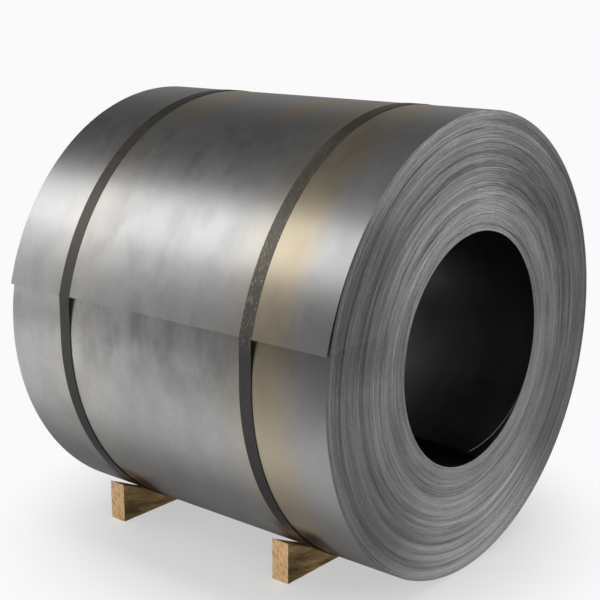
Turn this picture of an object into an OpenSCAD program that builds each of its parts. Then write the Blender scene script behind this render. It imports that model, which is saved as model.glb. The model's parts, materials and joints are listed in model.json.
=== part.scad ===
// Steel coil: flat strip wound on a mandrel, strapped round its girth and held by four wooden wedges.
// Millimetres. +X runs along the coil's axis, -Y is the front, +Z is up, and the floor is at z = 0.

/* [Coil] */
// Diameter of the bore, set by the mandrel that the strip was wound on
bore_d = 508; // [420:1:620]
// Outside diameter over the last full wrap
coil_d = 1006; // [860:1:1300]
// Width of the strip, which is the length of the coil
coil_w = 910; // [740:1:1250]
// Thickness of the strip
strip_t = 1; // [0.6:0.1:1.1]

/* [Turns on the ends] */
// Width of one band of turns, all wound to the same edge
band_w = 5; // [3:0.5:12]
// Depth of the deepest band below the end plane
band_depth = 1.6; // [0.4:0.1:4]

/* [Tail, the outer end of the strip] */
// Angle of the tail's edge above the horizontal, on the front
tail_edge_angle = 11; // [4:0.5:25]
// Angle at which the tail starts to lift off the wrap under it
tail_root_angle = 46; // [38:1:70]
// Height of the tail's outer corner above the wrap under it
tail_lift = 8.4; // [4:0.1:14]

/* [Head, the inner end of the strip] */
// Angle from the bottom, towards the back, over which the head leaves the bore wall
head_lap_angle = 44; // [25:1:70]

/* [Straps] */
// Width of a strap
strap_w = 33; // [19:1:44]
// Thickness of a strap
strap_t = 0.9; // [0.5:0.1:1.4]
// Distance from the coil's left end to the middle of the left strap
strap_inset_left = 185; // [175:1:300]
// Distance from the coil's right end to the middle of the right strap
strap_inset_right = 199; // [100:1:210]

/* [Strap seals] */
// Length of a seal along its strap
seal_l = 48; // [30:1:70]
// Thickness of the seal's sheet
seal_t = 1.1; // [0.7:0.1:1.6]
// Angle of the seals above the horizontal, on the back
seal_angle = 38; // [20:1:60]

/* [Chocks] */
// Thickness of the board that a chock is sawn from
chock_w = 45; // [30:1:60]
// Height of a chock at its heel
chock_h = 95; // [70:1:120]
// Slope of a chock's top
chock_slope = 24.5; // [18:0.5:27]
// Height of a chock at its blunt toe
chock_toe_h = 6; // [2:0.5:14]
// Distance from the coil's left end to the middle of the left chocks
chock_inset_left = 121.5; // [40:0.5:130]
// Distance from the coil's right end to the middle of the right chocks
chock_inset_right = 273.5; // [260:0.5:340]

/* [Hidden] */
$fn = 360;

// Clearances: a strap on the coil, a seal on its strap, the coil on a chock
strap_seat = 0.1;
seal_seat = 0.1;
chock_seat = 0.1;
// Height of the step with which a sprung arc or a straight run leaves the round that it lies on
blend_step = 0.05;

bore_r = bore_d / 2;
coil_r = coil_d / 2;
wall = coil_r - bore_r;

// The coil lies on its straps, so the axis is one strap higher than the radius
strap_in_r = coil_r + strap_seat;
strap_out_r = strap_in_r + strap_t;
axis_z = strap_out_r;

// Bands of turns on the ends, stepped by an irregular but fixed rule that leaves the first band flush
band_count = max(1, round(wall / band_w));
band_pitch = wall / band_count;
right_end_turn = 137.5;
left_end_turn = 99.4;
function band_depth_share(i, turn) = 0.5 - 0.5 * cos(i * turn);
function band_r(i) = bore_r + i * band_pitch;
function end_x(i, turn) = coil_w / 2 - band_depth * band_depth_share(i, turn);

// A point at radius r and at an angle above the horizontal, seen in the (y, z) plane from the axis
function on_front(r, angle) = [-r * cos(angle), r * sin(angle)];
function on_back(r, angle) = [r * cos(angle), r * sin(angle)];

// A sprung end follows a circle that touches the round of radius base_r at its root and passes at tip_r
// after the angle span. This is how far that circle's centre lies behind the axis: its radius is larger
// than base_r by the same amount, which is negative where the end springs inwards.
function sprung_shift(base_r, tip_r, span) =
    (tip_r ^ 2 - base_r ^ 2) / (2 * (base_r - tip_r * cos(span)));

tail_span = tail_root_angle - tail_edge_angle;
tail_base_r = coil_r + blend_step;
tail_shift = sprung_shift(tail_base_r, coil_r + tail_lift, tail_span);
tail_r = tail_base_r + tail_shift;
tail_centre = on_front(-tail_shift, tail_root_angle);

head_tip_angle = -90;
head_root_angle = head_tip_angle + head_lap_angle;
head_base_r = bore_r - blend_step;
head_shift = sprung_shift(head_base_r, bore_r - strip_t, head_lap_angle);
head_r = head_base_r + head_shift;
head_centre = on_back(-head_shift, head_root_angle);

// Below the tail's edge a strap runs straight down to the round, which it meets at the touch angle. A layer
// that lies grow above the coil has its own run, beside the others and as far from them as the layers are.
touch_angle = tail_edge_angle - acos(tail_base_r / (coil_r + tail_lift));
run_l = sqrt((coil_r + tail_lift) ^ 2 - tail_base_r ^ 2);
up_the_run = [sin(touch_angle), cos(touch_angle)];
function run_foot(grow) = on_front(tail_base_r + grow, touch_angle);
function past_the_edge(grow) = run_foot(grow) + 2 * run_l * up_the_run;

strap_left_x = strap_inset_left - coil_w / 2;
strap_right_x = coil_w / 2 - strap_inset_right;
chock_left_x = chock_inset_left - coil_w / 2;
chock_right_x = coil_w / 2 - chock_inset_right;

// A seal's inner and outer radius, its width and the angle that it takes up
seal_in_r = strap_out_r + seal_seat;
seal_out_r = seal_in_r + seal_t;
seal_in_w = strap_w + 2 * seal_seat;
seal_out_w = seal_in_w + 2 * seal_t;
seal_span = 2 * asin(seal_l / 2 / seal_out_r);

// A chock's top is the line that touches the coil's round at the chock's own slope
chock_touch_r = coil_r + chock_seat;
chock_touch_y = chock_touch_r * sin(chock_slope);
chock_touch_z = axis_z - chock_touch_r * cos(chock_slope);
function chock_y(z) = chock_touch_y + (z - chock_touch_z) / tan(chock_slope);

steel_colour = [0.62, 0.63, 0.64];
strap_colour = [0.24, 0.24, 0.25];
seal_colour = [0.45, 0.46, 0.47];
timber_colour = [0.80, 0.65, 0.45];

// Lays a shape that stands round the z axis along the coil's axis: its x becomes y and its y becomes z
module along_axis() {
    translate([0, 0, axis_z]) rotate([90, 0, 90]) children();
}

// The part of the (y, z) plane between two directions from the axis
module sector(towards_a, towards_b) {
    polygon([[0, 0], towards_a, towards_b]);
}

module tail_sector() {
    sector(on_front(coil_d, tail_edge_angle), on_front(coil_d, tail_root_angle));
}

module head_sector() {
    sector(on_back(coil_d, head_tip_angle), on_back(coil_d, head_root_angle));
}

// Half section of the wound body, in (radius, x): the bore, both stepped ends and the outer wrap
module turned_section() {
    right_end = [
        for (i = [0 : band_count - 1], side = [0, 1])
            [band_r(i + side), end_x(i, right_end_turn)]
    ];
    left_end = [
        for (i = [band_count - 1 : -1 : 0], side = [1, 0])
            [band_r(i + side), -end_x(i, left_end_turn)]
    ];
    polygon(concat(right_end, left_end));
}

// The last stretch of the strip, sprung off the wrap under it
module tail_section() {
    intersection() {
        translate(tail_centre) difference() {
            circle(tail_r);
            circle(tail_r - strip_t);
        }
        tail_sector();
    }
}

// The first stretch of the strip, which ends on the bore wall in a step of its own thickness
module head_section() {
    intersection() {
        difference() {
            circle(bore_r + strip_t);
            translate(head_centre) circle(head_r);
        }
        head_sector();
    }
}

module coil() {
    color(steel_colour) along_axis() {
        rotate_extrude() turned_section();
        linear_extrude(coil_w, center = true) tail_section();
        linear_extrude(coil_w, center = true) head_section();
    }
}

// Everything inside a layer that lies grow above the coil: the round, the tail and the run below its edge
module wrapped_area(grow) {
    circle(coil_r + grow);
    intersection() {
        translate(tail_centre) circle(tail_r + grow);
        polygon([[0, 0], run_foot(grow), past_the_edge(grow), on_front(coil_d, tail_root_angle)]);
    }
}

module strap(x) {
    color(strap_colour) translate([x, 0, 0]) along_axis()
        linear_extrude(strap_w, center = true) difference() {
            wrapped_area(strap_seat + strap_t);
            wrapped_area(strap_seat);
        }
}

// A sheet sleeve folded over the strap, with its two edges turned down to the coil
module seal(x) {
    color(seal_colour) translate([x, 0, 0]) along_axis()
        rotate([0, 0, seal_angle - seal_span / 2])
            rotate_extrude(angle = seal_span) difference() {
                translate([strap_in_r, -seal_out_w / 2]) square([seal_out_r - strap_in_r, seal_out_w]);
                translate([0, -seal_in_w / 2]) square([seal_in_r, seal_in_w]);
            }
}

// A wedge sawn from a board, with its heel outwards and its toe under the coil
module chock(x) {
    heel_y = chock_y(chock_h);
    toe_y = chock_y(chock_toe_h);
    color(timber_colour) translate([x, 0, 0]) rotate([90, 0, 90])
        linear_extrude(chock_w, center = true)
            polygon([[heel_y, 0], [heel_y, chock_h], [toe_y, chock_toe_h], [toe_y, 0]]);
}

module front_chock(x) {
    mirror([0, 1, 0]) chock(x);
}

module strap_left() { strap(strap_left_x); }
module strap_right() { strap(strap_right_x); }
module seal_left() { seal(strap_left_x); }
module seal_right() { seal(strap_right_x); }
module chock_front_left() { front_chock(chock_left_x); }
module chock_front_right() { front_chock(chock_right_x); }
module chock_back_left() { chock(chock_left_x); }
module chock_back_right() { chock(chock_right_x); }

coil();
strap_left();
strap_right();
seal_left();
seal_right();
chock_front_left();
chock_front_right();
chock_back_left();
chock_back_right();
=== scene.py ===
# %% [markdown]
# # A coil of steel strip
#
# A mill rolls steel into one long strip and winds it round a mandrel until the roll weighs a few tonnes.
# Two flat straps keep it from springing open, and wooden wedges keep it from rolling away. The CAD model
# gives the sizes. This lesson winds the real strip in its place, turn by turn, and gives each piece its
# finish. The frame comes first, because every size below is read from it.

import json
import math

import bmesh
import bpy
import numpy as np
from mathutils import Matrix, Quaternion, Vector, noise


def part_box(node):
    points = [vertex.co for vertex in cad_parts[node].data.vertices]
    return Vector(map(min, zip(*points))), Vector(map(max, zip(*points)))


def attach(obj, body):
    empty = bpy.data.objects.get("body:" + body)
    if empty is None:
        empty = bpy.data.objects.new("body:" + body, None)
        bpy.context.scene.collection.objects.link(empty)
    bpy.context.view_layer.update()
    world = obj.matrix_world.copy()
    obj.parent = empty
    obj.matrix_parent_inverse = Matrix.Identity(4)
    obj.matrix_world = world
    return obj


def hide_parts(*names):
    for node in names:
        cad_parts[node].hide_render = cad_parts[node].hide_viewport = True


MM = 0.001
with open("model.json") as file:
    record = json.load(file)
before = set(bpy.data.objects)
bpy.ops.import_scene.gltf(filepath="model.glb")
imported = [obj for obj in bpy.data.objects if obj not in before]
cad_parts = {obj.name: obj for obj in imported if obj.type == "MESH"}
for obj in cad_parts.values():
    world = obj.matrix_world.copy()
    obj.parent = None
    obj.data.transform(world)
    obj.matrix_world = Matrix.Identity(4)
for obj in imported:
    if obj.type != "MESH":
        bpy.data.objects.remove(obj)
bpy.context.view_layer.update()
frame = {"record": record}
coil_low, coil_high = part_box("coil")
half_width = coil_high.x
coil_r = (coil_high.y - coil_low.y) / 2
axis_z = (coil_high.z + coil_low.z) / 2
bore_r = frame["record"]["mounts"][0]["dims"]["r_mm"] / 1000
print(f"coil radius {coil_r:.4f} m, bore radius {bore_r:.4f} m, axis at {axis_z:.4f} m")

# %% [markdown]
# ## The camera
#
# The camera stands to the right of the front, a little above the roll, and looks slightly down. It could
# be moved by hand until the picture looks right. Here it was fitted to the rims of the coil in the
# photograph instead, because three ellipses fix both its place and its lens. A small shift moves the
# picture without turning the camera, as a view camera does, so the verticals keep their lean.

# %% Place the camera
CAMERA_AT = (1.8320, -2.2391, 1.2641)
LOOKS_DOWN = 0.2672
TURNED_LEFT = 0.6968

camera = bpy.data.objects.new("camera", bpy.data.cameras.new("camera"))
camera.location = CAMERA_AT
camera.rotation_euler = (math.pi / 2 - LOOKS_DOWN, 0, TURNED_LEFT)
camera.data.sensor_width = 36
camera.data.lens = 76.74
camera.data.shift_x = 0.0090
camera.data.shift_y = 0.0468
bpy.context.scene.collection.objects.link(camera)
bpy.context.scene.camera = camera
bpy.context.scene.view_settings.view_transform = "Standard"
print("camera at", CAMERA_AT)

# %% [markdown]
# ## Arithmetic on sockets
#
# Finishes and node trees are sums, products and patterns. Written link by link they are hard to read, so
# one small class wraps a socket: `a * 0.5 + b` then adds the Math nodes by itself. Every other node comes
# from `add`, which sets the node's own settings first and fills its sockets afterwards, because some
# settings change which sockets there are.


# %% Wrap a socket
class Field:
    """A socket of a node tree that takes part in arithmetic."""

    def __init__(self, tree, socket=None):
        self.tree = tree
        self.socket = socket

    def add(self, kind, settings=None, sockets=None, out=0):
        """Add a node of this kind, and give back one of its outputs."""
        node = self.tree.nodes.new(kind)
        for name, value in (settings or {}).items():
            if name == "stops":
                set_stops(node.color_ramp.elements, value)
            else:
                setattr(node, name, value)
        for name, value in (sockets or {}).items():
            if isinstance(value, Field):
                self.tree.links.new(value.socket, node.inputs[name])
            else:
                node.inputs[name].default_value = value
        return Field(self.tree, node.outputs[out])

    def out(self, name):
        """Another output of the node that this one belongs to."""
        return Field(self.tree, self.socket.node.outputs[name])

    def math(self, operation, *values):
        """The result of a Math node on these values."""
        return self.add("ShaderNodeMath", {"operation": operation}, dict(enumerate(values)))

    def __add__(self, other):
        return self.math("ADD", self, other)

    __radd__ = __add__

    def __sub__(self, other):
        return self.math("SUBTRACT", self, other)

    def __rsub__(self, other):
        return self.math("SUBTRACT", other, self)

    def __mul__(self, other):
        return self.math("MULTIPLY", self, other)

    __rmul__ = __mul__

    def __truediv__(self, other):
        return self.math("DIVIDE", self, other)

    def __abs__(self):
        return self.math("ABSOLUTE", self)

    def vector(self, operation, *values, out=0):
        """Vector maths on this vector or colour."""
        sockets = dict(enumerate((self, *values)))
        return self.add("ShaderNodeVectorMath", {"operation": operation}, sockets, out)

    def part(self, axis):
        """The X, Y or Z of this vector."""
        return self.add("ShaderNodeSeparateXYZ", {}, {0: self}, axis)

    def dimmed(self, amount):
        """This colour or vector, times a number that may change over the surface."""
        return self.add("ShaderNodeVectorMath", {"operation": "SCALE"}, {0: self, "Scale": amount})

    def step(self, low, high):
        """0 below low, 1 above high, and a smooth rise between them."""
        sockets = {"Value": self, "From Min": low, "From Max": high}
        return self.add("ShaderNodeMapRange", {"interpolation_type": "SMOOTHSTEP"}, sockets)

    def fall(self, low, high):
        """1 below low, 0 above high, and a smooth fall between them."""
        return 1.0 - self.step(low, high)

    def noise(self, scale, detail=2.0, rough=0.5, shift=(0.0, 0.0, 0.0)):
        """Cloudy noise around 0 with this many cells to a metre along x, y and z."""
        place = self.vector("MULTIPLY", scale).vector("ADD", shift)
        sockets = {"Vector": place, "Scale": 1.0, "Detail": detail, "Roughness": rough}
        return self.add("ShaderNodeTexNoise", {}, sockets) - 0.5

    def mix(self, low, high):
        """The colour low where this is 0, and high where it is 1."""
        return self.add("ShaderNodeMix", {"data_type": "RGBA"}, {0: self, 6: low, 7: high}, 2)


print("sockets can be added, multiplied and mixed")

# %% [markdown]
# ## Starting a finish
#
# Every finish here is one Principled shader. What differs is what feeds its sockets, so three helpers do
# the rest: one starts the material and hands over the place on the object, one feeds the sockets, and one
# makes a normal from a height. A pattern that reads the place on the object needs no unwrapping and has no
# seam.


# %% Start a finish
def set_stops(elements, stops):
    """Give a colour ramp these (place, colour) stops."""
    while len(elements) < len(stops):
        elements.new(1.0)
    for element, (place, colour) in zip(elements, stops):
        element.position = place
        element.color = (*colour, 1.0)


def new_finish(name):
    """A material with one shader: (material, shader node, the place on the object as a field)."""
    material = bpy.data.materials.new(name)
    material.use_nodes = True
    tree = material.node_tree
    tree.nodes.clear()
    shader = tree.nodes.new("ShaderNodeBsdfPrincipled")
    output = tree.nodes.new("ShaderNodeOutputMaterial")
    tree.links.new(shader.outputs["BSDF"], output.inputs["Surface"])
    return material, shader, Field(tree).add("ShaderNodeTexCoord", out="Object")


def feed(shader, **sockets):
    """Set or link the shader's sockets: Base_Color=..., Roughness=... and so on."""
    for name, value in sockets.items():
        socket = shader.inputs[name.replace("_", " ")]
        if isinstance(value, Field):
            value.tree.links.new(value.socket, socket)
        else:
            socket.default_value = value


def bumped(height, distance):
    """The normal of a surface that this height, from 0 to 1, raises by the distance in metres."""
    sockets = {"Height": height, "Distance": distance, "Strength": 1.0}
    return height.add("ShaderNodeBump", {}, sockets)


print("finishes can be started")

# %% [markdown]
# ## Mill finish: the patterns
#
# Cold strip leaves the mill satin grey. The rolls leave fine lines along the strip, which runs round the
# coil, and oil and handling leave clouds and smears that are longer along the strip than across it. A
# picture wrapped round the coil would show a seam. Stretched noise has none: many cells to a metre across
# the strip, few along it. Five sizes of noise are enough, from broad clouds to roll lines.


# %% Lay out the patterns of the outer wrap
def around_axis(place):
    """The place measured from the coil's axis instead of from the floor."""
    return place.vector("ADD", (0.0, 0.0, -axis_z))


def radius_of(wound):
    """Distance from the coil's axis of a place that is measured from it."""
    return wound.vector("MULTIPLY", (0.0, 1.0, 1.0)).vector("LENGTH", out="Value")


mill_steel, mill_shader, place = new_finish("mill_steel")
wound = around_axis(place)
across = wound.part("X")
depth = wound.part("Y")
rise = wound.part("Z")
clouds = wound.noise((5.0, 4.0, 4.0), 4.0)
blotches = wound.noise((13.0, 8.0, 8.0))
smears = wound.noise((34.0, 17.0, 17.0), 4.0, 0.6)
mottle = wound.noise((130.0, 80.0, 80.0), 3.0, 0.6)
roll_lines = wound.noise((800.0, 5.0, 5.0), 3.0, 0.6)
soiled = (blotches + smears * 0.45).step(-0.12, 0.22)
print("five noises, from 4 to 800 cells to a metre")

# %% [markdown]
# ## Mill finish: light and dark places
#
# The patterns add up to one tone that dims the steel. They are calmer towards the right end and near the
# ridge, where the strip was touched least. Then come painted shade on the underside, a painted shadow with
# some dirt below the tail's edge, a painted reflection of the floor in a band below it, painted shade on the
# right end of the bright band and a soiled patch in the middle. Each could be painted by hand. A smooth step
# of the place is easier to move, and it stays sharp at any distance.

# %% Sum up the tone
uneven = clouds * 0.30 + blotches * 0.15 + smears * 0.26 + mottle * 0.22 + roll_lines * 0.06
uneven = uneven + 0.055 - soiled * 0.15
calm = (1.0 - across.step(0.15, 0.30) * 0.65) * (1.0 - rise.step(0.25, 0.42) * 0.5)
tone = 1.0 + uneven * calm

# Painted shade: darker towards the underside, and more so at the far left bottom.
far_left = across.fall(-0.36, -0.25)
low_shade = rise.fall(-0.32, -0.13) * (0.39 - across * 0.15)
low_shade = low_shade + rise.fall(-0.37, -0.22) * far_left * 0.38
tone = tone * (1.0 - low_shade)

front = depth.fall(-0.4, -0.3)
# Painted shadow below the tail's edge, growing to the right, with some dirt from the soiled and smeared
# noise.
under_tail = rise.step(-0.13, 0.04) * rise.fall(0.1, 0.102) * front
under_tail = under_tail * radius_of(wound).fall(coil_r + 0.5 * MM, coil_r + 2.0 * MM)
tail_shadow_ramp = across.math("MAXIMUM", 0.12 + across * 0.72, -0.08)
tone = tone * (1.0 - under_tail * (tail_shadow_ramp - 0.04 + (soiled + smears) * 0.15 * calm))

# Painted reflection of the floor: a lighter band low on the front, towards the left.
floor_reflection_band = rise.step(-0.24, -0.12) * rise.fall(-0.10, 0.0) * across.fall(0.20, 0.40)
# Painted shade on the right end of the bright band.
right_band_shade = across.step(0.27, 0.46) * rise.step(0.06, 0.18) * rise.fall(0.30, 0.42)
handled = abs(across + 0.07).fall(0.04, 0.20) * abs(rise - 0.12).fall(0.03, 0.22)
handled = handled * (0.2 + soiled * 0.9)
tone = tone * (1.0 + front * (floor_reflection_band * 0.13 - right_band_shade * 0.18 - handled * 0.16))
print("tone summed up for", mill_steel.name)

# %% [markdown]
# ## Mill finish: painted shade at the foot of the straps
#
# Where a strap goes under the coil beside a wedge, the strip gets a dark brown patch of painted shade and
# a painted reflection of the wedge. It could be a decal. Here it is one more zone of the same finish,
# placed from the straps' own boxes, so it follows when a strap moves.

# %% Paint shade on the strip beside the wedges
WEDGE_SHADE_SHIFT = 22 * MM

strap_centre = {}
for side in ("left", "right"):
    low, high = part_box("strap_" + side)
    strap_centre[side] = (low.x + high.x) / 2
strap_w = high.x - low.x

# Painted shade and a painted reflection of the wedge: a dark brown patch low on the front beside each strap.
wedge_shade = 0.0
for centre in strap_centre.values():
    wedge_shade = wedge_shade + abs(across - centre - WEDGE_SHADE_SHIFT).fall(0.03, 0.09)
wedge_shade = wedge_shade * rise.fall(-0.37, -0.30) * depth.fall(-0.15, 0.0)
tone = tone * (1.0 - wedge_shade.step(0.0, 0.6) * 0.90)
print("stains right of x", [round(centre, 3) for centre in strap_centre.values()])

# %% [markdown]
# ## Mill finish: the straw tint
#
# Beside the straps, heat and oil have left a straw tint, strongest to the right of the right strap, with
# more of it in broken clouds along the ridge. The tint runs round the coil in bands, so its strength
# follows x alone. A colour ramp holds such a curve in one node, and its stops are set from the straps'
# edges.

# %% Tint the strip and finish it
SATIN_GREY = (0.475, 0.475, 0.475, 1.0)
STRAW_YELLOW = (0.54, 0.465, 0.345, 1.0)
left_edges = [strap_centre["left"] + k * strap_w / 2 for k in (-1, 1)]
right_edges = [strap_centre["right"] + k * strap_w / 2 for k in (-1, 1)]
STRAW = (
    (left_edges[0] - 0.085, 0.0),
    (left_edges[0], 0.20),
    (left_edges[1], 0.22),
    (left_edges[1] + 0.15, 0.0),
    (right_edges[0] - 0.09, 0.0),
    (right_edges[0], 0.42),
    (right_edges[1], 1.0),
    (right_edges[1] + 0.055, 1.0),
    (right_edges[1] + 0.12, 0.0),
)
STRAW_ON_TOP = ((-0.26, 0.0), (-0.22, 1.0), (-0.16, 1.0), (-0.11, 0.0), (0.02, 0.0), (0.06, 1.0))
STRAW_ON_TOP += ((0.09, 1.0), (0.13, 0.2), (0.18, 0.3), (0.21, 0.8), (0.24, 0.6), (0.30, 0.0))
share_across = (across + half_width) / (2 * half_width)


def by_place(stops):
    """A value that follows these (x, amount) stops across the strip."""
    places = [((x + half_width) / (2 * half_width), (amount,) * 3) for x, amount in stops]
    return share_across.add("ShaderNodeValToRGB", {"stops": places}, {0: share_across})


cloudy = 1.0 + wound.noise((6.0, 12.0, 12.0), 3.0, 0.6, (5.0, 0.0, 0.0)) * 2.2
straw = by_place(STRAW) + by_place(STRAW_ON_TOP) * rise.step(0.45, 0.49) * cloudy
straw = straw * (1.0 + wound.noise((9.0, 4.0, 4.0)) * 1.2)
# The painted shade beside the wedges also tints the strip brown, as a painted reflection of the wood.
straw = straw + wedge_shade * 0.5
feed(
    mill_shader,
    Base_Color=straw.mix(SATIN_GREY, STRAW_YELLOW).dimmed(tone),
    Metallic=1.0,
    Roughness=0.33 + smears * 0.12 + blotches * 0.10 + mottle * 0.07 + roll_lines * 0.04,
    Normal=bumped(roll_lines + smears, 0.03 * MM),
)
print("straw tint across the strip", [(round(x, 3), amount) for x, amount in STRAW])

# %% [markdown]
# ## The cut edges: rings
#
# The ends of the coil show nothing but the slit edges of the strip, one thin ring for each turn. A slit
# edge is duller and darker than the face, and its burr and oil differ from turn to turn. Rings could be a
# wave of the radius, but those would be all alike. A noise that is very fine along the radius and slow
# round the coil draws rings that come and go, as on the real one.

# %% Draw the rings of the cut edges
cut_edges, edge_shader, place = new_finish("cut_edges")
wound = around_axis(place)
radius = radius_of(wound)
direction = wound.vector("MULTIPLY", (0.0, 1.0, 1.0)).vector("NORMALIZE")
upwards = direction.part("Z")


def rings(per_metre, slowness, shift, detail=2.0):
    """Noise that changes quickly from ring to ring and slowly round the coil."""
    at = {"X": radius * per_metre + shift, "Y": direction.part("Y") * slowness, "Z": upwards * slowness}
    place_on_ring = direction.add("ShaderNodeCombineXYZ", {}, at)
    return place_on_ring.noise((1.0, 1.0, 1.0), detail)


fine_rings = rings(900.0, 1.8, 3.0)
mid_rings = rings(330.0, 1.0, 7.0)
wide_rings = rings(85.0, 0.8, 11.0)
patches = rings(14.0, 1.9, 23.0, 3.0)
light_lines = abs(mid_rings).fall(0.0, 0.030)
dark_lines = abs(rings(190.0, 0.8, 31.0)).fall(0.0, 0.025)
speckle = wound.noise((150.0, 150.0, 150.0), 3.0, 0.6)
grit = wound.noise((420.0, 420.0, 420.0), 3.0, 0.65)
edge_tone = (fine_rings * 0.6 + mid_rings * 0.9 + grit * 1.1 + speckle * 0.5) * (1.0 + upwards * 0.3)
edge_tone = 1.0 + edge_tone + wide_rings * 1.6 + patches * 0.7
edge_tone = edge_tone + (light_lines * 0.55 - dark_lines * 0.40) * (1.0 + upwards * 0.5)
print("ring noise from 14 to 900 cells to a metre of radius")

# %% [markdown]
# ## The cut edges: wear
#
# The turns near the bore are cleaner than the rest. A painted highlight brightens the bottom, the top near
# the rim and a sector near the back, and painted shade darkens a sector at the upper front. A sector is the
# dot product of two directions, which costs one node and fades softly at its sides.


# %% Wear the cut edges and paint their sheen
DARK_EDGE = (0.262, 0.262, 0.266, 1.0)
LIGHT_EDGE = (0.278, 0.278, 0.275, 1.0)
DARKEST_EDGE = 0.15


def sector(degrees, low, high):
    """1 in the middle of a sector of the end and 0 outside it, at this angle from the back over the top."""
    middle = (0.0, math.cos(math.radians(degrees)), math.sin(math.radians(degrees)))
    return direction.vector("DOT_PRODUCT", middle, out="Value").step(low, high)


inner_zone = radius.fall(bore_r + 0.06, bore_r + 0.15)
# Painted highlights at the bottom and at the top near the rim, and painted shade at the upper front.
bottom_sheen = sector(-85.0, 0.70, 0.995) * radius.step(bore_r + 0.04, bore_r + 0.12)
rim_sheen = sector(75.0, 0.60, 0.90) * radius.step(coil_r - 0.07, coil_r - 0.03)
upper_front_shade = sector(155.0, 0.90, 0.98) * radius.step(bore_r + 0.03, bore_r + 0.07)
wear_and_sheen = inner_zone * 0.34 + bottom_sheen * (0.75 + wide_rings * 0.8) + rim_sheen * 0.26 - upper_front_shade * 0.20
# A painted highlight in a sector near the back.
wear_and_sheen = wear_and_sheen + sector(20.0, 0.70, 0.98) * 0.12
edge_tone = edge_tone * (1.0 + wear_and_sheen)
edge_tone = edge_tone.math("MAXIMUM", edge_tone, DARKEST_EDGE)
feed(
    edge_shader,
    Base_Color=(0.5 + patches).mix(DARK_EDGE, LIGHT_EDGE).dimmed(edge_tone),
    Metallic=1.0,
    Roughness=0.30 + fine_rings * 0.2 + patches * 0.12,
    Normal=bumped(grit, 0.12 * MM),
)
print("cut edges worn in four sectors and round the bore")

# %% [markdown]
# ## The bore wall
#
# The first turn was gripped by the mandrel and wears a film of old oil. Its dark colour is that oil and
# painted shade, nearly black near the mouth, and a painted reflection of the far opening makes it a little
# lighter further in and at the bottom. Black paint would hide that gloss, so it stays a metal with a dark
# colour.

# %% Make the finish of the bore wall
SHADED_OIL_BLACK = (0.19, 0.19, 0.19, 1.0)
SHADED_OIL_GREY = (0.215, 0.215, 0.21, 1.0)

bore_wall, bore_shader, place = new_finish("bore_wall")
wound = around_axis(place)
film = wound.noise((6.0, 5.0, 5.0), 3.0)
scuffs = wound.noise((40.0, 6.0, 6.0))
# Painted reflection: lighter deep in the bore and at the bottom, nearly black towards the near mouth.
film_and_reflection_tone = (1.0 + film * 0.5 + scuffs * 0.2) * (1.42 - wound.part("X").step(0.12, 0.38) * 0.87)
film_and_reflection_tone = film_and_reflection_tone * (1.0 + wound.part("Z").fall(-0.22, -0.10) * 0.7)
feed(
    bore_shader,
    Base_Color=film.step(-0.2, 0.2).mix(SHADED_OIL_BLACK, SHADED_OIL_GREY).dimmed(film_and_reflection_tone),
    Metallic=1.0,
    Roughness=0.31 + film * 0.1 + scuffs * 0.05,
)
print("bore wall finish ready")

# %% [markdown]
# ## The path of the strip
#
# The whole coil is one strip, so one path describes it: it starts at the bottom of the bore, runs to the
# back and upwards, and climbs one pitch for every turn. Both ends were held by force while it was wound.
# Let go, the head springs into the bore and the tail lifts off the wrap under it. A turned ring would be
# simpler, but it has neither end. Only the first and last turn show their face, so only they get a point
# for every degree. The others show an edge and need few.

# %% Count the turns
STRIP_T = 0.95 * MM
FULL_TURNS = 248
TAIL_EDGE, TAIL_ROOT = 11.0, 46.0
BOTTOM = -90.0
FINE_AT_HEAD, FINE_AT_TAIL = 402.0, 439.0
FINE_STEP, COARSE_STEP = 1.0, 6.0

run = FULL_TURNS * 360.0 + (180.0 - TAIL_EDGE) - BOTTOM
turned = np.concatenate([
    np.arange(0.0, FINE_AT_HEAD, FINE_STEP),
    np.arange(FINE_AT_HEAD, run - FINE_AT_TAIL, COARSE_STEP),
    np.arange(run - FINE_AT_TAIL, run + FINE_STEP / 2, FINE_STEP),
])
pitch = (coil_r - bore_r - STRIP_T) / (run / 360.0)
strip_r = bore_r + STRIP_T / 2 + pitch * turned / 360.0
print(f"{run / 360:.2f} turns, pitch {pitch / MM:.4f} mm, {len(turned)} points")

# %% [markdown]
# ## The sprung ends
#
# The head leaves the bore wall softly and runs level with it again at its tip, which the sine of a power
# draws. The tail was bent to the coil's own curve and has opened a little, so it follows a slightly larger
# circle that touches the coil at its root. Bending the mesh with a modifier would do for one of them, but
# a formula keeps both ends on the path, and the straps below can use the same circle.

# %% Spring both ends
HEAD_SPAN, HEAD_LIFT = 57.0, 25.5 * MM
HEAD_CURL = 1.15
TAIL_LIFT = 8.4 * MM

head_share = np.clip(1.0 - turned / HEAD_SPAN, 0.0, 1.0)
strip_r -= HEAD_LIFT * np.sin(math.pi / 2 * head_share**HEAD_CURL)


def sprung_circle(base_r, tip_r, span):
    """Centre shift and radius of the circle that leaves base_r at its root and passes tip_r at span."""
    shift = (tip_r**2 - base_r**2) / (2 * (base_r - tip_r * math.cos(math.radians(span))))
    return shift, base_r + shift


tail_span = TAIL_ROOT - TAIL_EDGE
tail_shift, tail_r = sprung_circle(coil_r, coil_r + TAIL_LIFT, tail_span)
past_root = np.radians(np.clip(turned - (run - tail_span), 0.0, tail_span))
tail_out = np.sqrt(tail_r**2 - (tail_shift * np.sin(past_root)) ** 2) - tail_shift * np.cos(past_root)
strip_r += tail_out - coil_r

angle = np.radians(turned + BOTTOM)
strip_path = np.stack(
    [np.zeros_like(angle), strip_r * np.cos(angle), axis_z + strip_r * np.sin(angle)], axis=1
)
print(f"strip from radius {strip_r[0]:.4f} to {strip_r[-1]:.4f} m")

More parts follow.
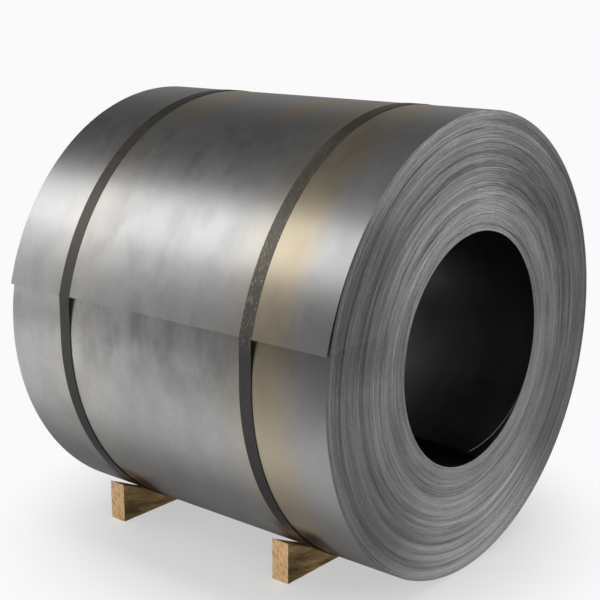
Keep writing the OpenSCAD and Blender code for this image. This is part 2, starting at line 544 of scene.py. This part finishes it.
# %% [markdown]
# ## Sweeping a flat band: the path weaves
#
# The strip and the straps are the same kind of thing: a flat band that follows a path. A curve with a bevel
# could sweep it, but a Geometry Nodes tree keeps the sizes as named inputs, and it can weave. A strip never
# winds quite straight. It drifts a little from side to side, which is what makes the rings on the ends
# uneven. The drift is a noise of the turn and of the direction, so it wanders from turn to turn and changes
# slowly round the coil.


# %% Start the sweeping tree and weave the path
def new_tree(name, inputs):
    """A geometry tree with these named inputs: (tree, a field for each input)."""
    tree = bpy.data.node_groups.new(name, "GeometryNodeTree")
    tree.interface.new_socket("Path", in_out="INPUT", socket_type="NodeSocketGeometry")
    for label, kind in inputs.items():
        tree.interface.new_socket(label, in_out="INPUT", socket_type="NodeSocket" + kind)
    tree.interface.new_socket("Geometry", in_out="OUTPUT", socket_type="NodeSocketGeometry")
    source = tree.nodes.new("NodeGroupInput")
    return tree, {s.name: Field(tree, s) for s in source.outputs if s.name}


BAND_INPUTS = {
    "Width": "Float",
    "Thickness": "Float",
    "Crown": "Float",
    "Weave": "Float",
    "Seed": "Float",
    "Material": "Material",
}
# Each drift: its changes in a turn, its changes round the coil and its share of the weave
DRIFTS = ((0.07, 0.5, 0.8), (0.33, 0.7, 0.7), (1.3, 0.9, 0.5))

sweep_tree, given = new_tree("flat_band", BAND_INPUTS)
path = given["Path"]
line = path.add("GeometryNodeMeshToCurve", {}, {"Mesh": path})
turn = path.add("GeometryNodeInputNamedAttribute", {"data_type": "FLOAT"}, {"Name": "turn"})
where = path.add("GeometryNodeInputPosition")
spoke = where.vector("MULTIPLY", (0.0, 1.0, 1.0)).vector("ADD", (0.0, 0.0, -axis_z))
spoke = spoke.vector("NORMALIZE")
weave = 0.0
for per_turn, slowness, share in DRIFTS:
    spot = path.add("ShaderNodeCombineXYZ", {}, {"X": turn * per_turn + given["Seed"]})
    spot = spoke.dimmed(slowness).vector("ADD", spot)
    weave = weave + spot.noise((1.0, 1.0, 1.0), 1.0) * share
# Noise reaches a half to either side, so it is doubled to fill the weave
sideways = path.add("ShaderNodeCombineXYZ", {}, {"X": weave * given["Weave"] * 2.0})
line = line.add("GeometryNodeSetPosition", {}, {"Geometry": line, "Offset": sideways})
print("weave made of", len(DRIFTS), "drifts")

# %% [markdown]
# ## Sweeping a flat band: the section
#
# A slit edge is not square: the knife leaves it slightly crowned. A rectangle has no such edge, and a
# bevelled one has more corners than 248 turns can afford. A hexagon has just enough. Its two outer corners
# become the crowns, and the other four are pressed flat to the thickness of the strip. The curve's normal
# is held along the coil's axis, so the band never twists.

# %% Sweep the section along the path
HEXAGON_TOP = math.sin(math.radians(60.0))

line = line.add(
    "GeometryNodeSetCurveNormal", {"mode": "FREE"}, {"Curve": line, "Normal": (1.0, 0.0, 0.0)}
)
hexagon = path.add("GeometryNodeCurvePrimitiveCircle", {}, {"Resolution": 6, "Radius": 1.0})
corner_x = where.part("X")
towards_face = where.part("Y") / HEXAGON_TOP
flat = {
    "X": corner_x.math("SIGN", corner_x) * (given["Width"] * 0.5 - abs(towards_face) * given["Crown"]),
    "Y": towards_face * given["Thickness"] * 0.5,
}
flat_corner = path.add("ShaderNodeCombineXYZ", {}, flat)
section = path.add("GeometryNodeSetPosition", {}, {"Geometry": hexagon, "Position": flat_corner})
band = line.add(
    "GeometryNodeCurveToMesh", {}, {"Curve": line, "Profile Curve": section, "Fill Caps": True}
)
real = band.add("GeometryNodeRealizeInstances", {}, {"Geometry": band})
dressed = real.add("GeometryNodeSetMaterial", {}, {"Geometry": real, "Material": given["Material"]})
tree_end = sweep_tree.nodes.new("NodeGroupOutput")
sweep_tree.links.new(dressed.socket, tree_end.inputs[0])
print("sweeping tree ready with inputs", list(BAND_INPUTS))

# %% [markdown]
# ## From a path to a piece
#
# A tree makes its result anew at each evaluation. The export wants plain meshes, so the result is kept as
# the mesh of the object and the modifier is taken off. Each piece is then tied to the CAD node that it
# stands for. There is one body, because nothing on a coil moves by itself.


# %% Turn a path into a piece
def path_mesh(name, points, closed, turns=None):
    """A chain of edges through the points, with the turn that each point belongs to."""
    count = len(points)
    edges = [(i, i + 1) for i in range(count - 1)]
    if closed:
        edges.append((count - 1, 0))
    mesh = bpy.data.meshes.new(name)
    mesh.from_pydata([tuple(p) for p in points], edges, [])
    attribute = mesh.attributes.new("turn", "FLOAT", "POINT")
    attribute.data.foreach_set("value", np.zeros(count) if turns is None else turns)
    return mesh


def grown(name, mesh, tree, **values):
    """Run the tree on the mesh, and keep what it makes as the plain mesh of a new object."""
    piece = bpy.data.objects.new(name, mesh)
    bpy.context.scene.collection.objects.link(piece)
    modifier = piece.modifiers.new(tree.name, "NODES")
    modifier.node_group = tree
    for item in tree.interface.items_tree:
        if item.in_out == "INPUT" and item.name in values:
            modifier[item.identifier] = values[item.name]
    evaluated = piece.evaluated_get(bpy.context.evaluated_depsgraph_get())
    made = bpy.data.meshes.new_from_object(evaluated)
    piece.modifiers.clear()
    piece.data = made
    return piece


def soften(mesh, degrees):
    """Shade the faces smoothly, apart from edges sharper than this."""
    mesh.shade_smooth()
    mesh.set_sharp_from_angle(angle=math.radians(degrees))


def fit(piece, node):
    """The piece stands for this CAD node, and moves with the one body there is."""
    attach(piece, "root")
    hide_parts(node)
    piece.data.calc_loop_triangles()
    print(piece.name, len(piece.data.loop_triangles), "triangles")


print("paths can become pieces")

# %% [markdown]
# ## Winding the coil
#
# One call winds the strip. It is a little narrower than the coil, so that the turns that weave furthest
# just reach the coil's ends. Hundreds of separate rings could show the same ends, but only one strip has a
# head and a tail that belong to it.

# %% Wind the coil
WEAVE = 1.6 * MM
WEAVE_ROOM = 2.3 * WEAVE
WEAVE_SEED = 4.0
STRIP_CROWN = 0.24 * MM

coil = grown(
    "wound_strip",
    path_mesh("strip_path", strip_path, False, turned / 360.0),
    sweep_tree,
    Width=2 * half_width - WEAVE_ROOM,
    Thickness=STRIP_T,
    Crown=STRIP_CROWN,
    Weave=WEAVE,
    Seed=WEAVE_SEED,
    Material=mill_steel,
)
print("wound", len(coil.data.polygons), "faces")

# %% [markdown]
# ## A finish for each face
#
# The faces of the strip get their finish by where they are: a face that looks along the axis is a cut edge,
# the first turn is the bore wall, and the rest has the mill finish. Three separate pieces could carry three
# finishes too, but the strip is one piece of steel. The turn of each face comes from the attribute that the
# path brought along, and arrays sort all the faces at once, because a loop over so many is slow.

# %% Give each face its finish
BAND_CREASE = 58
FIRST_TURN = 1.02
LOOKS_ALONG = 0.7
EDGE_FINISH, BORE_FINISH = 1, 2

mesh = coil.data
for finish in (cut_edges, bore_wall):
    mesh.materials.append(finish)
face_count = len(mesh.polygons)
face_normal = np.zeros(face_count * 3)
mesh.polygons.foreach_get("normal", face_normal)
turn_at = np.zeros(len(mesh.vertices))
mesh.attributes["turn"].data.foreach_get("value", turn_at)
first_corner = np.zeros(face_count, dtype=np.int32)
mesh.polygons.foreach_get("loop_start", first_corner)
corner_vertex = np.zeros(len(mesh.loops), dtype=np.int32)
mesh.loops.foreach_get("vertex_index", corner_vertex)
face_turn = turn_at[corner_vertex[first_corner]]
finish_of = np.zeros(face_count, dtype=np.int32)
finish_of[face_turn < FIRST_TURN] = BORE_FINISH
finish_of[np.abs(face_normal[0::3]) > LOOKS_ALONG] = EDGE_FINISH
mesh.polygons.foreach_set("material_index", finish_of)
soften(mesh, BAND_CREASE)
fit(coil, "coil")
print("faces per finish", np.bincount(finish_of).tolist())

# %% [markdown]
# ## Strap paint: bare specks
#
# Strapping is sold with a dark waxy coat. Handling rubs it to specks of bare steel, thickest along the
# edges and on the right strap above the tail's edge. The specks could be scattered as small faces. Noise
# that is cut off high gives the same specks in the coat itself, and the same steps of the place as before
# say where they are thick.

# %% Rub the strap paint
strap_paint, strap_shader, place = new_finish("strap_paint")
wound = around_axis(place)
across = wound.part("X")
rise = wound.part("Z")
from_left = abs(across - strap_centre["left"])
from_right = abs(across - strap_centre["right"])
from_middle = across.math("MINIMUM", from_right, from_left)
on_right = across.step(0.0, 0.1)
on_left = 1.0 - on_right
dust = wound.noise((120.0, 40.0, 40.0), 4.0, 0.6)
chips = wound.noise((420.0, 160.0, 160.0), 3.0, 0.65)
scrapes = wound.noise((210.0, 80.0, 80.0), 3.0, 0.6)
# The light edges are worn bare steel and also painted light over the dark shade line beside the strap.
bare_lit_edge = from_middle.step(strap_w * 0.487, strap_w * 0.495)
specks = (0.35 + from_middle.step(strap_w * 0.2, strap_w * 0.5)) * chips.step(0.07, 0.17)
rubbed = scrapes.step(0.08, 0.20) * rise.fall(0.20, 0.34)
over_tail = rise.step(0.06, 0.11)
rub = (specks * 0.7 + rubbed * 0.5) * on_right * over_tail + specks * 0.2 + bare_lit_edge
rub = rub.math("MINIMUM", rub, 1.0)
print("specks and bare edges rubbed into", strap_paint.name)

# %% [markdown]
# ## Strap paint: brown above, black below
#
# The coat is browner and paler on the upper half and black near the floor, and painted shade darkens it
# towards the floor and at the very top. The left strap is darker than the right one, most of all low down,
# which is painted shade too. Each strap could have a material of its own. One finish with a mask for each
# side keeps the wear and the painted shade of both in one place.

# %% Finish the straps' paint
WAX_BLACK = (0.062, 0.062, 0.060, 1.0)
WAX_BROWN = (0.076, 0.069, 0.053, 1.0)
RUBBED_STEEL = (0.34, 0.32, 0.29, 1.0)

# Painted shade: darker towards the floor, and more so on the left strap low down.
low_shade = 1.0 - rise.fall(-0.32, 0.05) * 0.5
low_shade = low_shade * (1.0 - rise.fall(-0.355, -0.24) * 0.80)
low_shade = low_shade * (1.0 - rise.fall(-0.30, -0.15) * on_left * 0.6)
pale_and_top_shade = 0.82 + on_right * (0.18 + rise.step(0.05, 0.12) * 0.6)
pale_and_top_shade = pale_and_top_shade + on_left * rise.step(-0.1, 0.1) * 0.36
# Painted shade at the very top of the straps.
pale_and_top_shade = pale_and_top_shade * (1.0 - rise.step(0.42, 0.495) * 0.55)
upper = rise.step(0.02, 0.25) + rise.step(0.35, 0.49)
wax = (upper * (0.8 + dust * 1.2)).mix(WAX_BLACK, WAX_BROWN)
feed(
    strap_shader,
    Base_Color=(rub * 0.8).mix(wax, RUBBED_STEEL).dimmed((1.0 + dust * 0.7) * low_shade * pale_and_top_shade),
    # More metallic low down darkens the straps there, as part of the painted shade.
    Metallic=0.5 + rub * 0.4 + rise.fall(-0.30, -0.08) * 0.5,
    Specular_IOR_Level=0.4,
    Roughness=0.38 + dust * 0.25,
    Normal=bumped(dust + chips * 0.6, 0.12 * MM),
)
print("strap finish ready")

# %% [markdown]
# ## The straps
#
# Each strap is a flat hoop pulled tight. It follows the round of the coil, climbs with the tail, bends over
# the tail's edge and then runs straight down to the round again, so a dark gap stays behind it. A plain
# ring would cut through the tail. The path is worked out once from the tail's own circle and used twice,
# by the tree that wound the coil. The steel is a little narrower than the place that the CAD model keeps
# for it, and it lies a little to the left there.

# %% Bend the straps
STRAP_T = 0.9 * MM
STRAP_SEAT = 0.1 * MM
STRAP_TRIM = 1.9 * MM
STRAP_SHIFT = -0.9 * MM
STRAP_CROWN = 0.25 * MM

to_middle = STRAP_SEAT + STRAP_T / 2
touch = TAIL_EDGE - math.degrees(math.acos(coil_r / (coil_r + TAIL_LIFT)))


def on_front(r, degrees):
    """A point of the (y, z) plane at this radius and angle above the horizontal, on the front."""
    return np.array([-r * math.cos(math.radians(degrees)), r * math.sin(math.radians(degrees))])


hoop = [on_front(coil_r + to_middle, a) for a in np.arange(touch, TAIL_ROOT - 360.0, -1.0)]
tail_centre = on_front(-tail_shift, TAIL_ROOT)
lean = math.degrees(math.asin(tail_shift * math.sin(math.radians(tail_span)) / tail_r))
over_the_tail = [*np.arange(TAIL_ROOT, TAIL_EDGE + lean, -1.0), TAIL_EDGE + lean]
hoop += [tail_centre + on_front(tail_r + to_middle, a) for a in over_the_tail]
hoop = np.array(hoop)
for side, centre in strap_centre.items():
    at_x = np.full(len(hoop), centre + STRAP_SHIFT)
    strap = grown(
        "hoop_" + side,
        path_mesh("strap_path", np.column_stack([at_x, hoop[:, 0], hoop[:, 1] + axis_z]), True),
        sweep_tree,
        Width=strap_w - STRAP_TRIM,
        Thickness=STRAP_T,
        Crown=STRAP_CROWN,
        Weave=0.0,
        Seed=0.0,
        Material=strap_paint,
    )
    soften(strap.data, BAND_CREASE)
    fit(strap, "strap_" + side)
print(f"strap leaves the tail's edge at {TAIL_EDGE} and meets the round at {touch:.2f} degrees")

# %% [markdown]
# ## Galvanised sheet
#
# The seals are made of galvanised sheet. Its zinc sets in small flakes, each a slightly different grey. A
# Voronoi texture is made of just such cells, and one channel of its random colour gives each flake its own
# shade and gloss.

# %% Make the seal finish
ZINC_DULL = (0.34, 0.345, 0.35, 1.0)
ZINC_PALE = (0.46, 0.465, 0.47, 1.0)

galvanised, seal_shader, place = new_finish("galvanised")
flakes = place.add(
    "ShaderNodeTexVoronoi", {}, {"Vector": place, "Scale": 260.0, "Randomness": 1.0}, "Color"
)
flake = flakes.add("ShaderNodeSeparateColor", {}, {0: flakes}, "Red")
dull = place.noise((90.0, 90.0, 90.0), 3.0)
feed(
    seal_shader,
    Base_Color=(0.5 + dull).mix(ZINC_DULL, ZINC_PALE).dimmed(0.85 + flake * 0.3),
    Metallic=1.0,
    Roughness=0.42 + flake * 0.12 + dull * 0.2,
    Normal=bumped(dull, 0.1 * MM),
)
print("seal finish ready")

# %% [markdown]
# ## The seals
#
# A seal is a short sleeve of sheet, folded over both layers of strap and crimped with a hand tool. It sits
# at the back of the coil. A bent box would show no crimps, so a section of the folded sheet is laid out at
# many steps along the strap, with its sides pinched in at each crimp, and skinned from step to step. The
# section comes first.

# %% Lay out the section of a seal
SHEET_T = 1.1 * MM


def seal_section(width, pinch):
    """Outline of the sheet in (x, height over the strap), folded down on both sides."""
    half = width / 2 - pinch
    top, inner = SHEET_T * 2.0, SHEET_T * 0.9
    shoulder, bend = top * 0.6, SHEET_T * 0.6
    outside = [(-half, 0.0), (-half, shoulder), (-half + bend, top), (half - bend, top)]
    outside += [(half, shoulder), (half, 0.0)]
    inside = [(half - SHEET_T, 0.0), (half - SHEET_T, inner)]
    inside += [(-half + SHEET_T, inner), (-half + SHEET_T, 0.0)]
    return outside + inside


print("a seal's section has", len(seal_section(strap_w, 0.0)), "corners")

# %% [markdown]
# ## Folding the seals
#
# The sections stand along the strap like ribs, and faces join each to the next. A bmesh is the plain way to
# do that: points first, then faces, then one call that turns every face outwards.

# %% Fold the seals
SEAL_L = 48 * MM
PINCH = 1.6 * MM
SEAL_SEAT = 0.1 * MM
SEAL_STEPS = 48
SEAL_CREASE = 35
CRIMPS = (0.2, 0.5, 0.8)
CRIMP_REACH = 0.035


def folded_seal(name, centre, low, high):
    """The mesh of a sleeve round the strap at this x, in the box of its CAD node."""
    seal_angle = math.atan2((low.z + high.z) / 2 - axis_z, (low.y + high.y) / 2)
    build = bmesh.new()
    loops = []
    for i in range(SEAL_STEPS + 1):
        share = i / SEAL_STEPS
        press = max(math.exp(-(((share - c) / CRIMP_REACH) ** 2)) for c in CRIMPS)
        a = seal_angle + (share - 0.5) * SEAL_L / coil_r
        loop = []
        for x, over_strap in seal_section(high.x - low.x, PINCH * press):
            r = coil_r + SEAL_SEAT + over_strap
            loop.append(build.verts.new((centre + x, r * math.cos(a), axis_z + r * math.sin(a))))
        loops.append(loop)
    count = len(loops[0])
    for one, other in zip(loops, loops[1:]):
        for k in range(count):
            build.faces.new((one[k], one[(k + 1) % count], other[(k + 1) % count], other[k]))
    build.faces.new(loops[0][::-1])
    build.faces.new(loops[-1])
    bmesh.ops.recalc_face_normals(build, faces=build.faces)
    mesh = bpy.data.meshes.new(name)
    build.to_mesh(mesh)
    build.free()
    return mesh


for side, centre in strap_centre.items():
    mesh = folded_seal("seal_" + side, centre, *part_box("seal_" + side))
    mesh.materials.append(galvanised)
    soften(mesh, SEAL_CREASE)
    seal = bpy.data.objects.new("sleeve_" + side, mesh)
    bpy.context.scene.collection.objects.link(seal)
    fit(seal, "seal_" + side)

# %% [markdown]
# ## Pine: rings and fibres
#
# The chocks were sawn from a pine board. Wood is rings round a pith. A picture of wood would need one for
# the side and another for the end, and they would not meet. A distance from an axis along the board, bent
# a little by noise, gives end grain on the heel and long grain on the sides with the same few nodes. Each
# chock keeps its own place in a board as an attribute, so no two are alike.

# %% Grow the pine
RINGS_PER_METRE = 105.0
FLECK_TURN = 0.6

pine, pine_shader, place = new_finish("pine")
board = place.add("ShaderNodeAttribute", {"attribute_name": "board"}, out="Vector")
bend = board.noise((16.0, 3.0, 16.0), 3.0, 0.6) * 0.030
ring_at = board.vector("MULTIPLY", (1.0, 0.0, 1.0)).vector("LENGTH", out="Value") + bend
ring_count = ring_at * RINGS_PER_METRE
season = ring_count.math("FRACT", ring_count)
late_wood = season.step(0.25, 0.9) * season.fall(0.9, 1.0)
turned_board = board.add(
    "ShaderNodeVectorRotate", {"rotation_type": "Y_AXIS"}, {"Vector": board, "Angle": FLECK_TURN}
)
flecks = turned_board.noise((200.0, 30.0, 65.0), 3.0, 0.65).step(-0.02, 0.14)
streaks = board.noise((70.0, 11.0, 70.0), 4.0, 0.62)
fibre = board.noise((520.0, 16.0, 520.0), 3.0, 0.6)
blotch = board.noise((28.0, 9.0, 28.0), 3.0)
print("pine with", RINGS_PER_METRE, "rings to a metre")

# %% [markdown]
# ## Pine: fresh heel, sides in painted shade
#
# The saw left the heel pale with reddish flecks. The sides are dark brown, which is painted shade with
# streaks of age, and darker still low near the heel. Two materials would do for that, but one that looks at
# the direction of the face keeps the rings running round the corner.

# %% Age the pine and shade its sides
SAWN_PALE = (1.0, 0.67, 0.35, 1.0)
SAWN_RED = (0.62, 0.31, 0.12, 1.0)
SHADED_SIDE_PALE = (0.46, 0.315, 0.15, 1.0)
SHADED_SIDE_BROWN = (0.115, 0.058, 0.021, 1.0)

redness = late_wood * (0.15 + blotch * 0.6) + flecks * 0.75
age = streaks.step(-0.26, 0.26) * 0.95 + late_wood * 0.10
facing = place.add("ShaderNodeNewGeometry", out="Normal")
side_face = abs(facing.part("X")).step(0.5, 0.8)
from_heel = abs(place.part("Y")).step(0.22, 0.31)
# Painted shade: the sides darker low near the heel, and a little lighter towards the toe.
side_face_shade = side_face * (from_heel * place.part("Z").fall(0.02, 0.09) * 0.55 - (1.0 - from_heel) * 0.2)
# The side faces take the darker colours, painted shade with streaks of age.
timber = side_face.mix(redness.mix(SAWN_PALE, SAWN_RED), age.mix(SHADED_SIDE_PALE, SHADED_SIDE_BROWN))
feed(
    pine_shader,
    Base_Color=timber.dimmed((1.0 + fibre * 0.6 + blotch * 0.6) * (1.0 - side_face_shade)),
    Roughness=0.72 + fibre * 0.3,
    Specular_IOR_Level=0.25,
    Normal=bumped(fibre + late_wood * 0.2, 0.6 * MM),
)
print("pine aged")

# %% [markdown]
# ## The chocks
#
# Four wedges, thick at the heel and blunt at the toe, hold the coil. A wedge is a board's outline pushed
# through its thickness. Its edges are then broken, as handling does, and its skin is roughed up by noise,
# because a bump in the material alone leaves the outline too straight.


# %% Rough out a wedge
TOE_H = 6 * MM
BROKEN_EDGE = 0.9 * MM
EDGE_FULLNESS = 0.6
LONG_EDGE = 30 * MM
SKIN_CUTS = 11
SKIN_HEIGHT = 0.5 * MM
SKIN_CELLS = 55.0
SKIN_SHIFT = 40.0


def rough_wedge(name, low, high, along_board):
    """The mesh of a wedge with broken edges and a rough sawn skin, in the box of its CAD node."""
    heel, toe = (low.y, high.y) if low.y < 0 else (high.y, low.y)
    outline = [(heel, 0.0), (heel, high.z), (toe, TOE_H), (toe, 0.0)]
    build = bmesh.new()
    left = [build.verts.new((low.x, y, z)) for y, z in outline]
    right = [build.verts.new((high.x, y, z)) for y, z in outline]
    build.faces.new(left)
    build.faces.new(right[::-1])
    for k in range(4):
        build.faces.new((left[k], right[k], right[(k + 1) % 4], left[(k + 1) % 4]))
    bmesh.ops.recalc_face_normals(build, faces=build.faces)
    edges = build.edges[:]
    bmesh.ops.bevel(
        build, geom=edges, offset=BROKEN_EDGE, segments=2, profile=EDGE_FULLNESS, affect="EDGES"
    )
    long_edges = [e for e in build.edges if e.calc_length() > LONG_EDGE]
    bmesh.ops.subdivide_edges(build, edges=long_edges, cuts=SKIN_CUTS, use_grid_fill=True)
    bmesh.ops.triangulate(build, faces=build.faces)
    build.normal_update()
    shifts = []
    for v in build.verts:
        spot = v.co * SKIN_CELLS + Vector((along_board * SKIN_SHIFT, 0.0, 0.0))
        shifts.append(v.normal * noise.noise(spot) * SKIN_HEIGHT)
    for v, shift in zip(build.verts, shifts):
        v.co += shift
        v.co.z = max(v.co.z, 0.0)
    mesh = bpy.data.meshes.new(name)
    build.to_mesh(mesh)
    build.free()
    return mesh


print("wedges can be roughed out, with edges broken by", BROKEN_EDGE / MM, "mm")

# %% [markdown]
# ## Four wedges from one board
#
# Each wedge gets its own place in the board, noted on its points, so that the pine finish draws it other
# rings. The grain is tilted against the floor, since the wedge was sawn across the board. Turning the
# texture in the material would turn it alike for all four.

# %% Saw the chocks
CHOCK_CREASE = 30
GRAIN_TILT = math.radians(14.0)
# Where the pith lies across and above each chock, and how far along the board the chock was cut
PITHS = {
    "front_left": (-0.035, -0.030, 0.13),
    "front_right": (0.046, -0.022, 0.61),
    "back_left": (0.030, -0.045, 1.27),
    "back_right": (-0.052, -0.016, 1.83),
}


def place_in_board(mesh, centre_x, tilt, pith):
    """Note for each point where in the board it was, measured from the pith."""
    attribute = mesh.attributes.new("board", "FLOAT_VECTOR", "POINT")
    for v, value in zip(mesh.vertices, attribute.data):
        along = v.co.y * math.cos(tilt) - v.co.z * math.sin(tilt)
        upward = v.co.y * math.sin(tilt) + v.co.z * math.cos(tilt)
        value.vector = (v.co.x - centre_x - pith[0], along + pith[2], upward - pith[1])


for corner, pith in PITHS.items():
    chock_node = "chock_" + corner
    low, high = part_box(chock_node)
    mesh = rough_wedge("wedge_" + corner, low, high, pith[2])
    place_in_board(mesh, (low.x + high.x) / 2, GRAIN_TILT if low.y < 0 else -GRAIN_TILT, pith)
    mesh.materials.append(pine)
    soften(mesh, CHOCK_CREASE)
    chock = bpy.data.objects.new("wedge_" + corner, mesh)
    bpy.context.scene.collection.objects.link(chock)
    fit(chock, chock_node)

# %% [markdown]
# ## The floor
#
# The coil stands on white paper that has no far edge. A bright lamp could bleach the floor, but it would
# bleach the coil as well. So the floor mixes two things: a pale surface that takes the shadow, and a plain
# white glow that the camera sees. Near the coil they share the floor, and away from it the white takes
# over. Mirrored in the metal, only a tenth of that white shows, because the steel is dark low down.

# %% Lay the floor
FLOOR_HALF = 200.0
FLOOR_Z = -0.4 * MM
PAPER_GREY = (0.86, 0.86, 0.86, 1.0)
PAPER_WHITE = (0.955, 0.955, 0.955, 1.0)
MIRRORED = 0.1
WHITE_AT_COIL = 0.52
NEAR_COIL, FAR_FROM_COIL = 0.38, 0.80

mesh = bpy.data.meshes.new("floor")
corners = [(-1, -1), (1, -1), (1, 1), (-1, 1)]
mesh.from_pydata([(x * FLOOR_HALF, y * FLOOR_HALF, FLOOR_Z) for x, y in corners], [], [(0, 1, 2, 3)])
floor = bpy.data.objects.new("floor", mesh)
bpy.context.scene.collection.objects.link(floor)

floor_white, floor_shader, place = new_finish("floor_white")
feed(floor_shader, Base_Color=PAPER_GREY, Roughness=0.75, Specular_IOR_Level=0.2)
seen = place.add("ShaderNodeLightPath", out="Is Camera Ray")
shows_white = seen.math("MAXIMUM", seen, seen.out("Is Glossy Ray") * MIRRORED)
shows_white = seen.math("MAXIMUM", shows_white, seen.out("Is Transmission Ray"))
away = place.vector("LENGTH", out="Value").step(NEAR_COIL, FAR_FROM_COIL)
paper = place.add("ShaderNodeEmission", {}, {"Color": PAPER_WHITE, "Strength": 1.0})
white_here = WHITE_AT_COIL + away * (1.0 - WHITE_AT_COIL)
blend = place.add("ShaderNodeMixShader", {}, {"Fac": shows_white * white_here})
mixer = blend.socket.node
floor_white.node_tree.links.new(floor_shader.outputs["BSDF"], mixer.inputs[1])
floor_white.node_tree.links.new(paper.socket, mixer.inputs[2])
output = next(n for n in floor_white.node_tree.nodes if n.type == "OUTPUT_MATERIAL")
floor_white.node_tree.links.new(blend.socket, output.inputs["Surface"])
mesh.materials.append(floor_white)
print("floor laid")

# %% [markdown]
# ## Soft boxes
#
# Polished metal shows its surroundings more than its colour, so each lamp is placed by what the coil should
# reflect. A long soft box high in front draws the bright band along the roll. A card and a smaller box on
# the left light the far part of the band and the front below it, and a fill from the right lights the cut
# edges. Two narrow lamps brighten the floor that the lower half mirrors, and a weak one overhead softens the
# shadow. Point lamps would leave hard glints on the steel.


# %% Hang the soft boxes
def soft_box(name, location, aim, size_x, size_y, radiance, spread=180.0, roll=0.0):
    """An area lamp that looks at a point and is not seen by the camera itself."""
    lamp = bpy.data.lights.new(name, "AREA")
    lamp.shape = "RECTANGLE"
    lamp.size, lamp.size_y = size_x, size_y
    lamp.energy = radiance * math.pi * size_x * size_y
    lamp.spread = math.radians(spread)
    box = bpy.data.objects.new(name, lamp)
    box.location = location
    aimed = (Vector(aim) - Vector(location)).to_track_quat("-Z", "Y")
    box.rotation_euler = (aimed @ Quaternion((0, 0, 1), math.radians(roll))).to_euler()
    box.visible_camera = False
    bpy.context.scene.collection.objects.link(box)
    print(name, "at", tuple(round(c, 2) for c in location))


FRONT_X, FRONT_RISE, FRONT_FAR = -2.2, 50.5, 3.0
front_y = -FRONT_FAR * math.cos(math.radians(FRONT_RISE))
front_z = axis_z + FRONT_FAR * math.sin(math.radians(FRONT_RISE))
front_aim = (FRONT_X, 0, axis_z)
# Each box: its name, its place, the point that it looks at, its width, height, radiance and spread
soft_box("front_box", (FRONT_X, front_y, front_z), front_aim, 4.0, 1.34, 1.77, roll=-7.5)
soft_box("left_card", (-2.9, -2.2, 1.2), (0, -0.3, 0.8), 1.7, 1.9, 0.60)
soft_box("left_high", (-2.52, -1.75, 1.87), (-0.2, -0.3, 0.65), 1.5, 0.8, 0.74)
soft_box("floor_spot", (-1.65, -1.4, 2.6), (-1.65, -1.4, 0), 0.8, 0.8, 1.5, 44.0)
soft_box("floor_strip", (-0.35, -0.75, 2.4), (-0.35, -0.75, 0), 1.8, 0.3, 0.42, 32.0)
soft_box("front_fill", (2.2, -2.6, 0.9), (0, -0.3, 0.1), 1.6, 1.4, 2.7)
soft_box("top_box", (1.0, 0.6, 4.2), (1.0, 0.6, 0), 3.0, 3.0, 0.5, 90.0)

# %% [markdown]
# ## The room
#
# The camera sees plain white behind the coil, but the top of the roll is dark, so what it mirrors is a dim
# room. A grey world would make the top flat. Here the room is graded from its skirting to its ceiling by a
# colour ramp, with a bright side on the right for the cut edges and a faint glow beside the long soft box.

# %% Dim the room
# Each level of the room: its height as a share of straight up, and its brightness
ROOM_LEVELS = ((0.21, 0.22), (0.34, 0.205), (0.545, 0.066), (0.70, 0.045), (0.79, 0.12))

world = bpy.data.worlds.new("room")
bpy.context.scene.world = world
world.use_nodes = True
world.node_tree.nodes.clear()
heading = Field(world.node_tree).add("ShaderNodeTexCoord", out="Generated")
rightward = heading.part("X")
backward = heading.part("Y")
upward = heading.part("Z")
stops = [(place, (level,) * 3) for place, level in ROOM_LEVELS]
room = upward.add("ShaderNodeValToRGB", {"stops": stops}, {0: upward})
bright_side = rightward.step(-0.2, 0.4) * upward.fall(0.2, 0.55)
beside_box = rightward.fall(-0.55, -0.25) * backward.fall(-0.2, 0.12) * upward.step(0.5, 0.62)
room = room * (1.0 + backward * 0.45) + bright_side * 0.9 + beside_box * 0.10
to_camera = heading.add("ShaderNodeLightPath", out="Is Camera Ray")
sky = to_camera.mix(room, PAPER_WHITE)
glow = sky.add("ShaderNodeBackground", {}, {"Color": sky, "Strength": 1.0})
output = world.node_tree.nodes.new("ShaderNodeOutputWorld")
world.node_tree.links.new(glow.socket, output.inputs["Surface"])
print("room dimmed to", [level for place, level in ROOM_LEVELS])
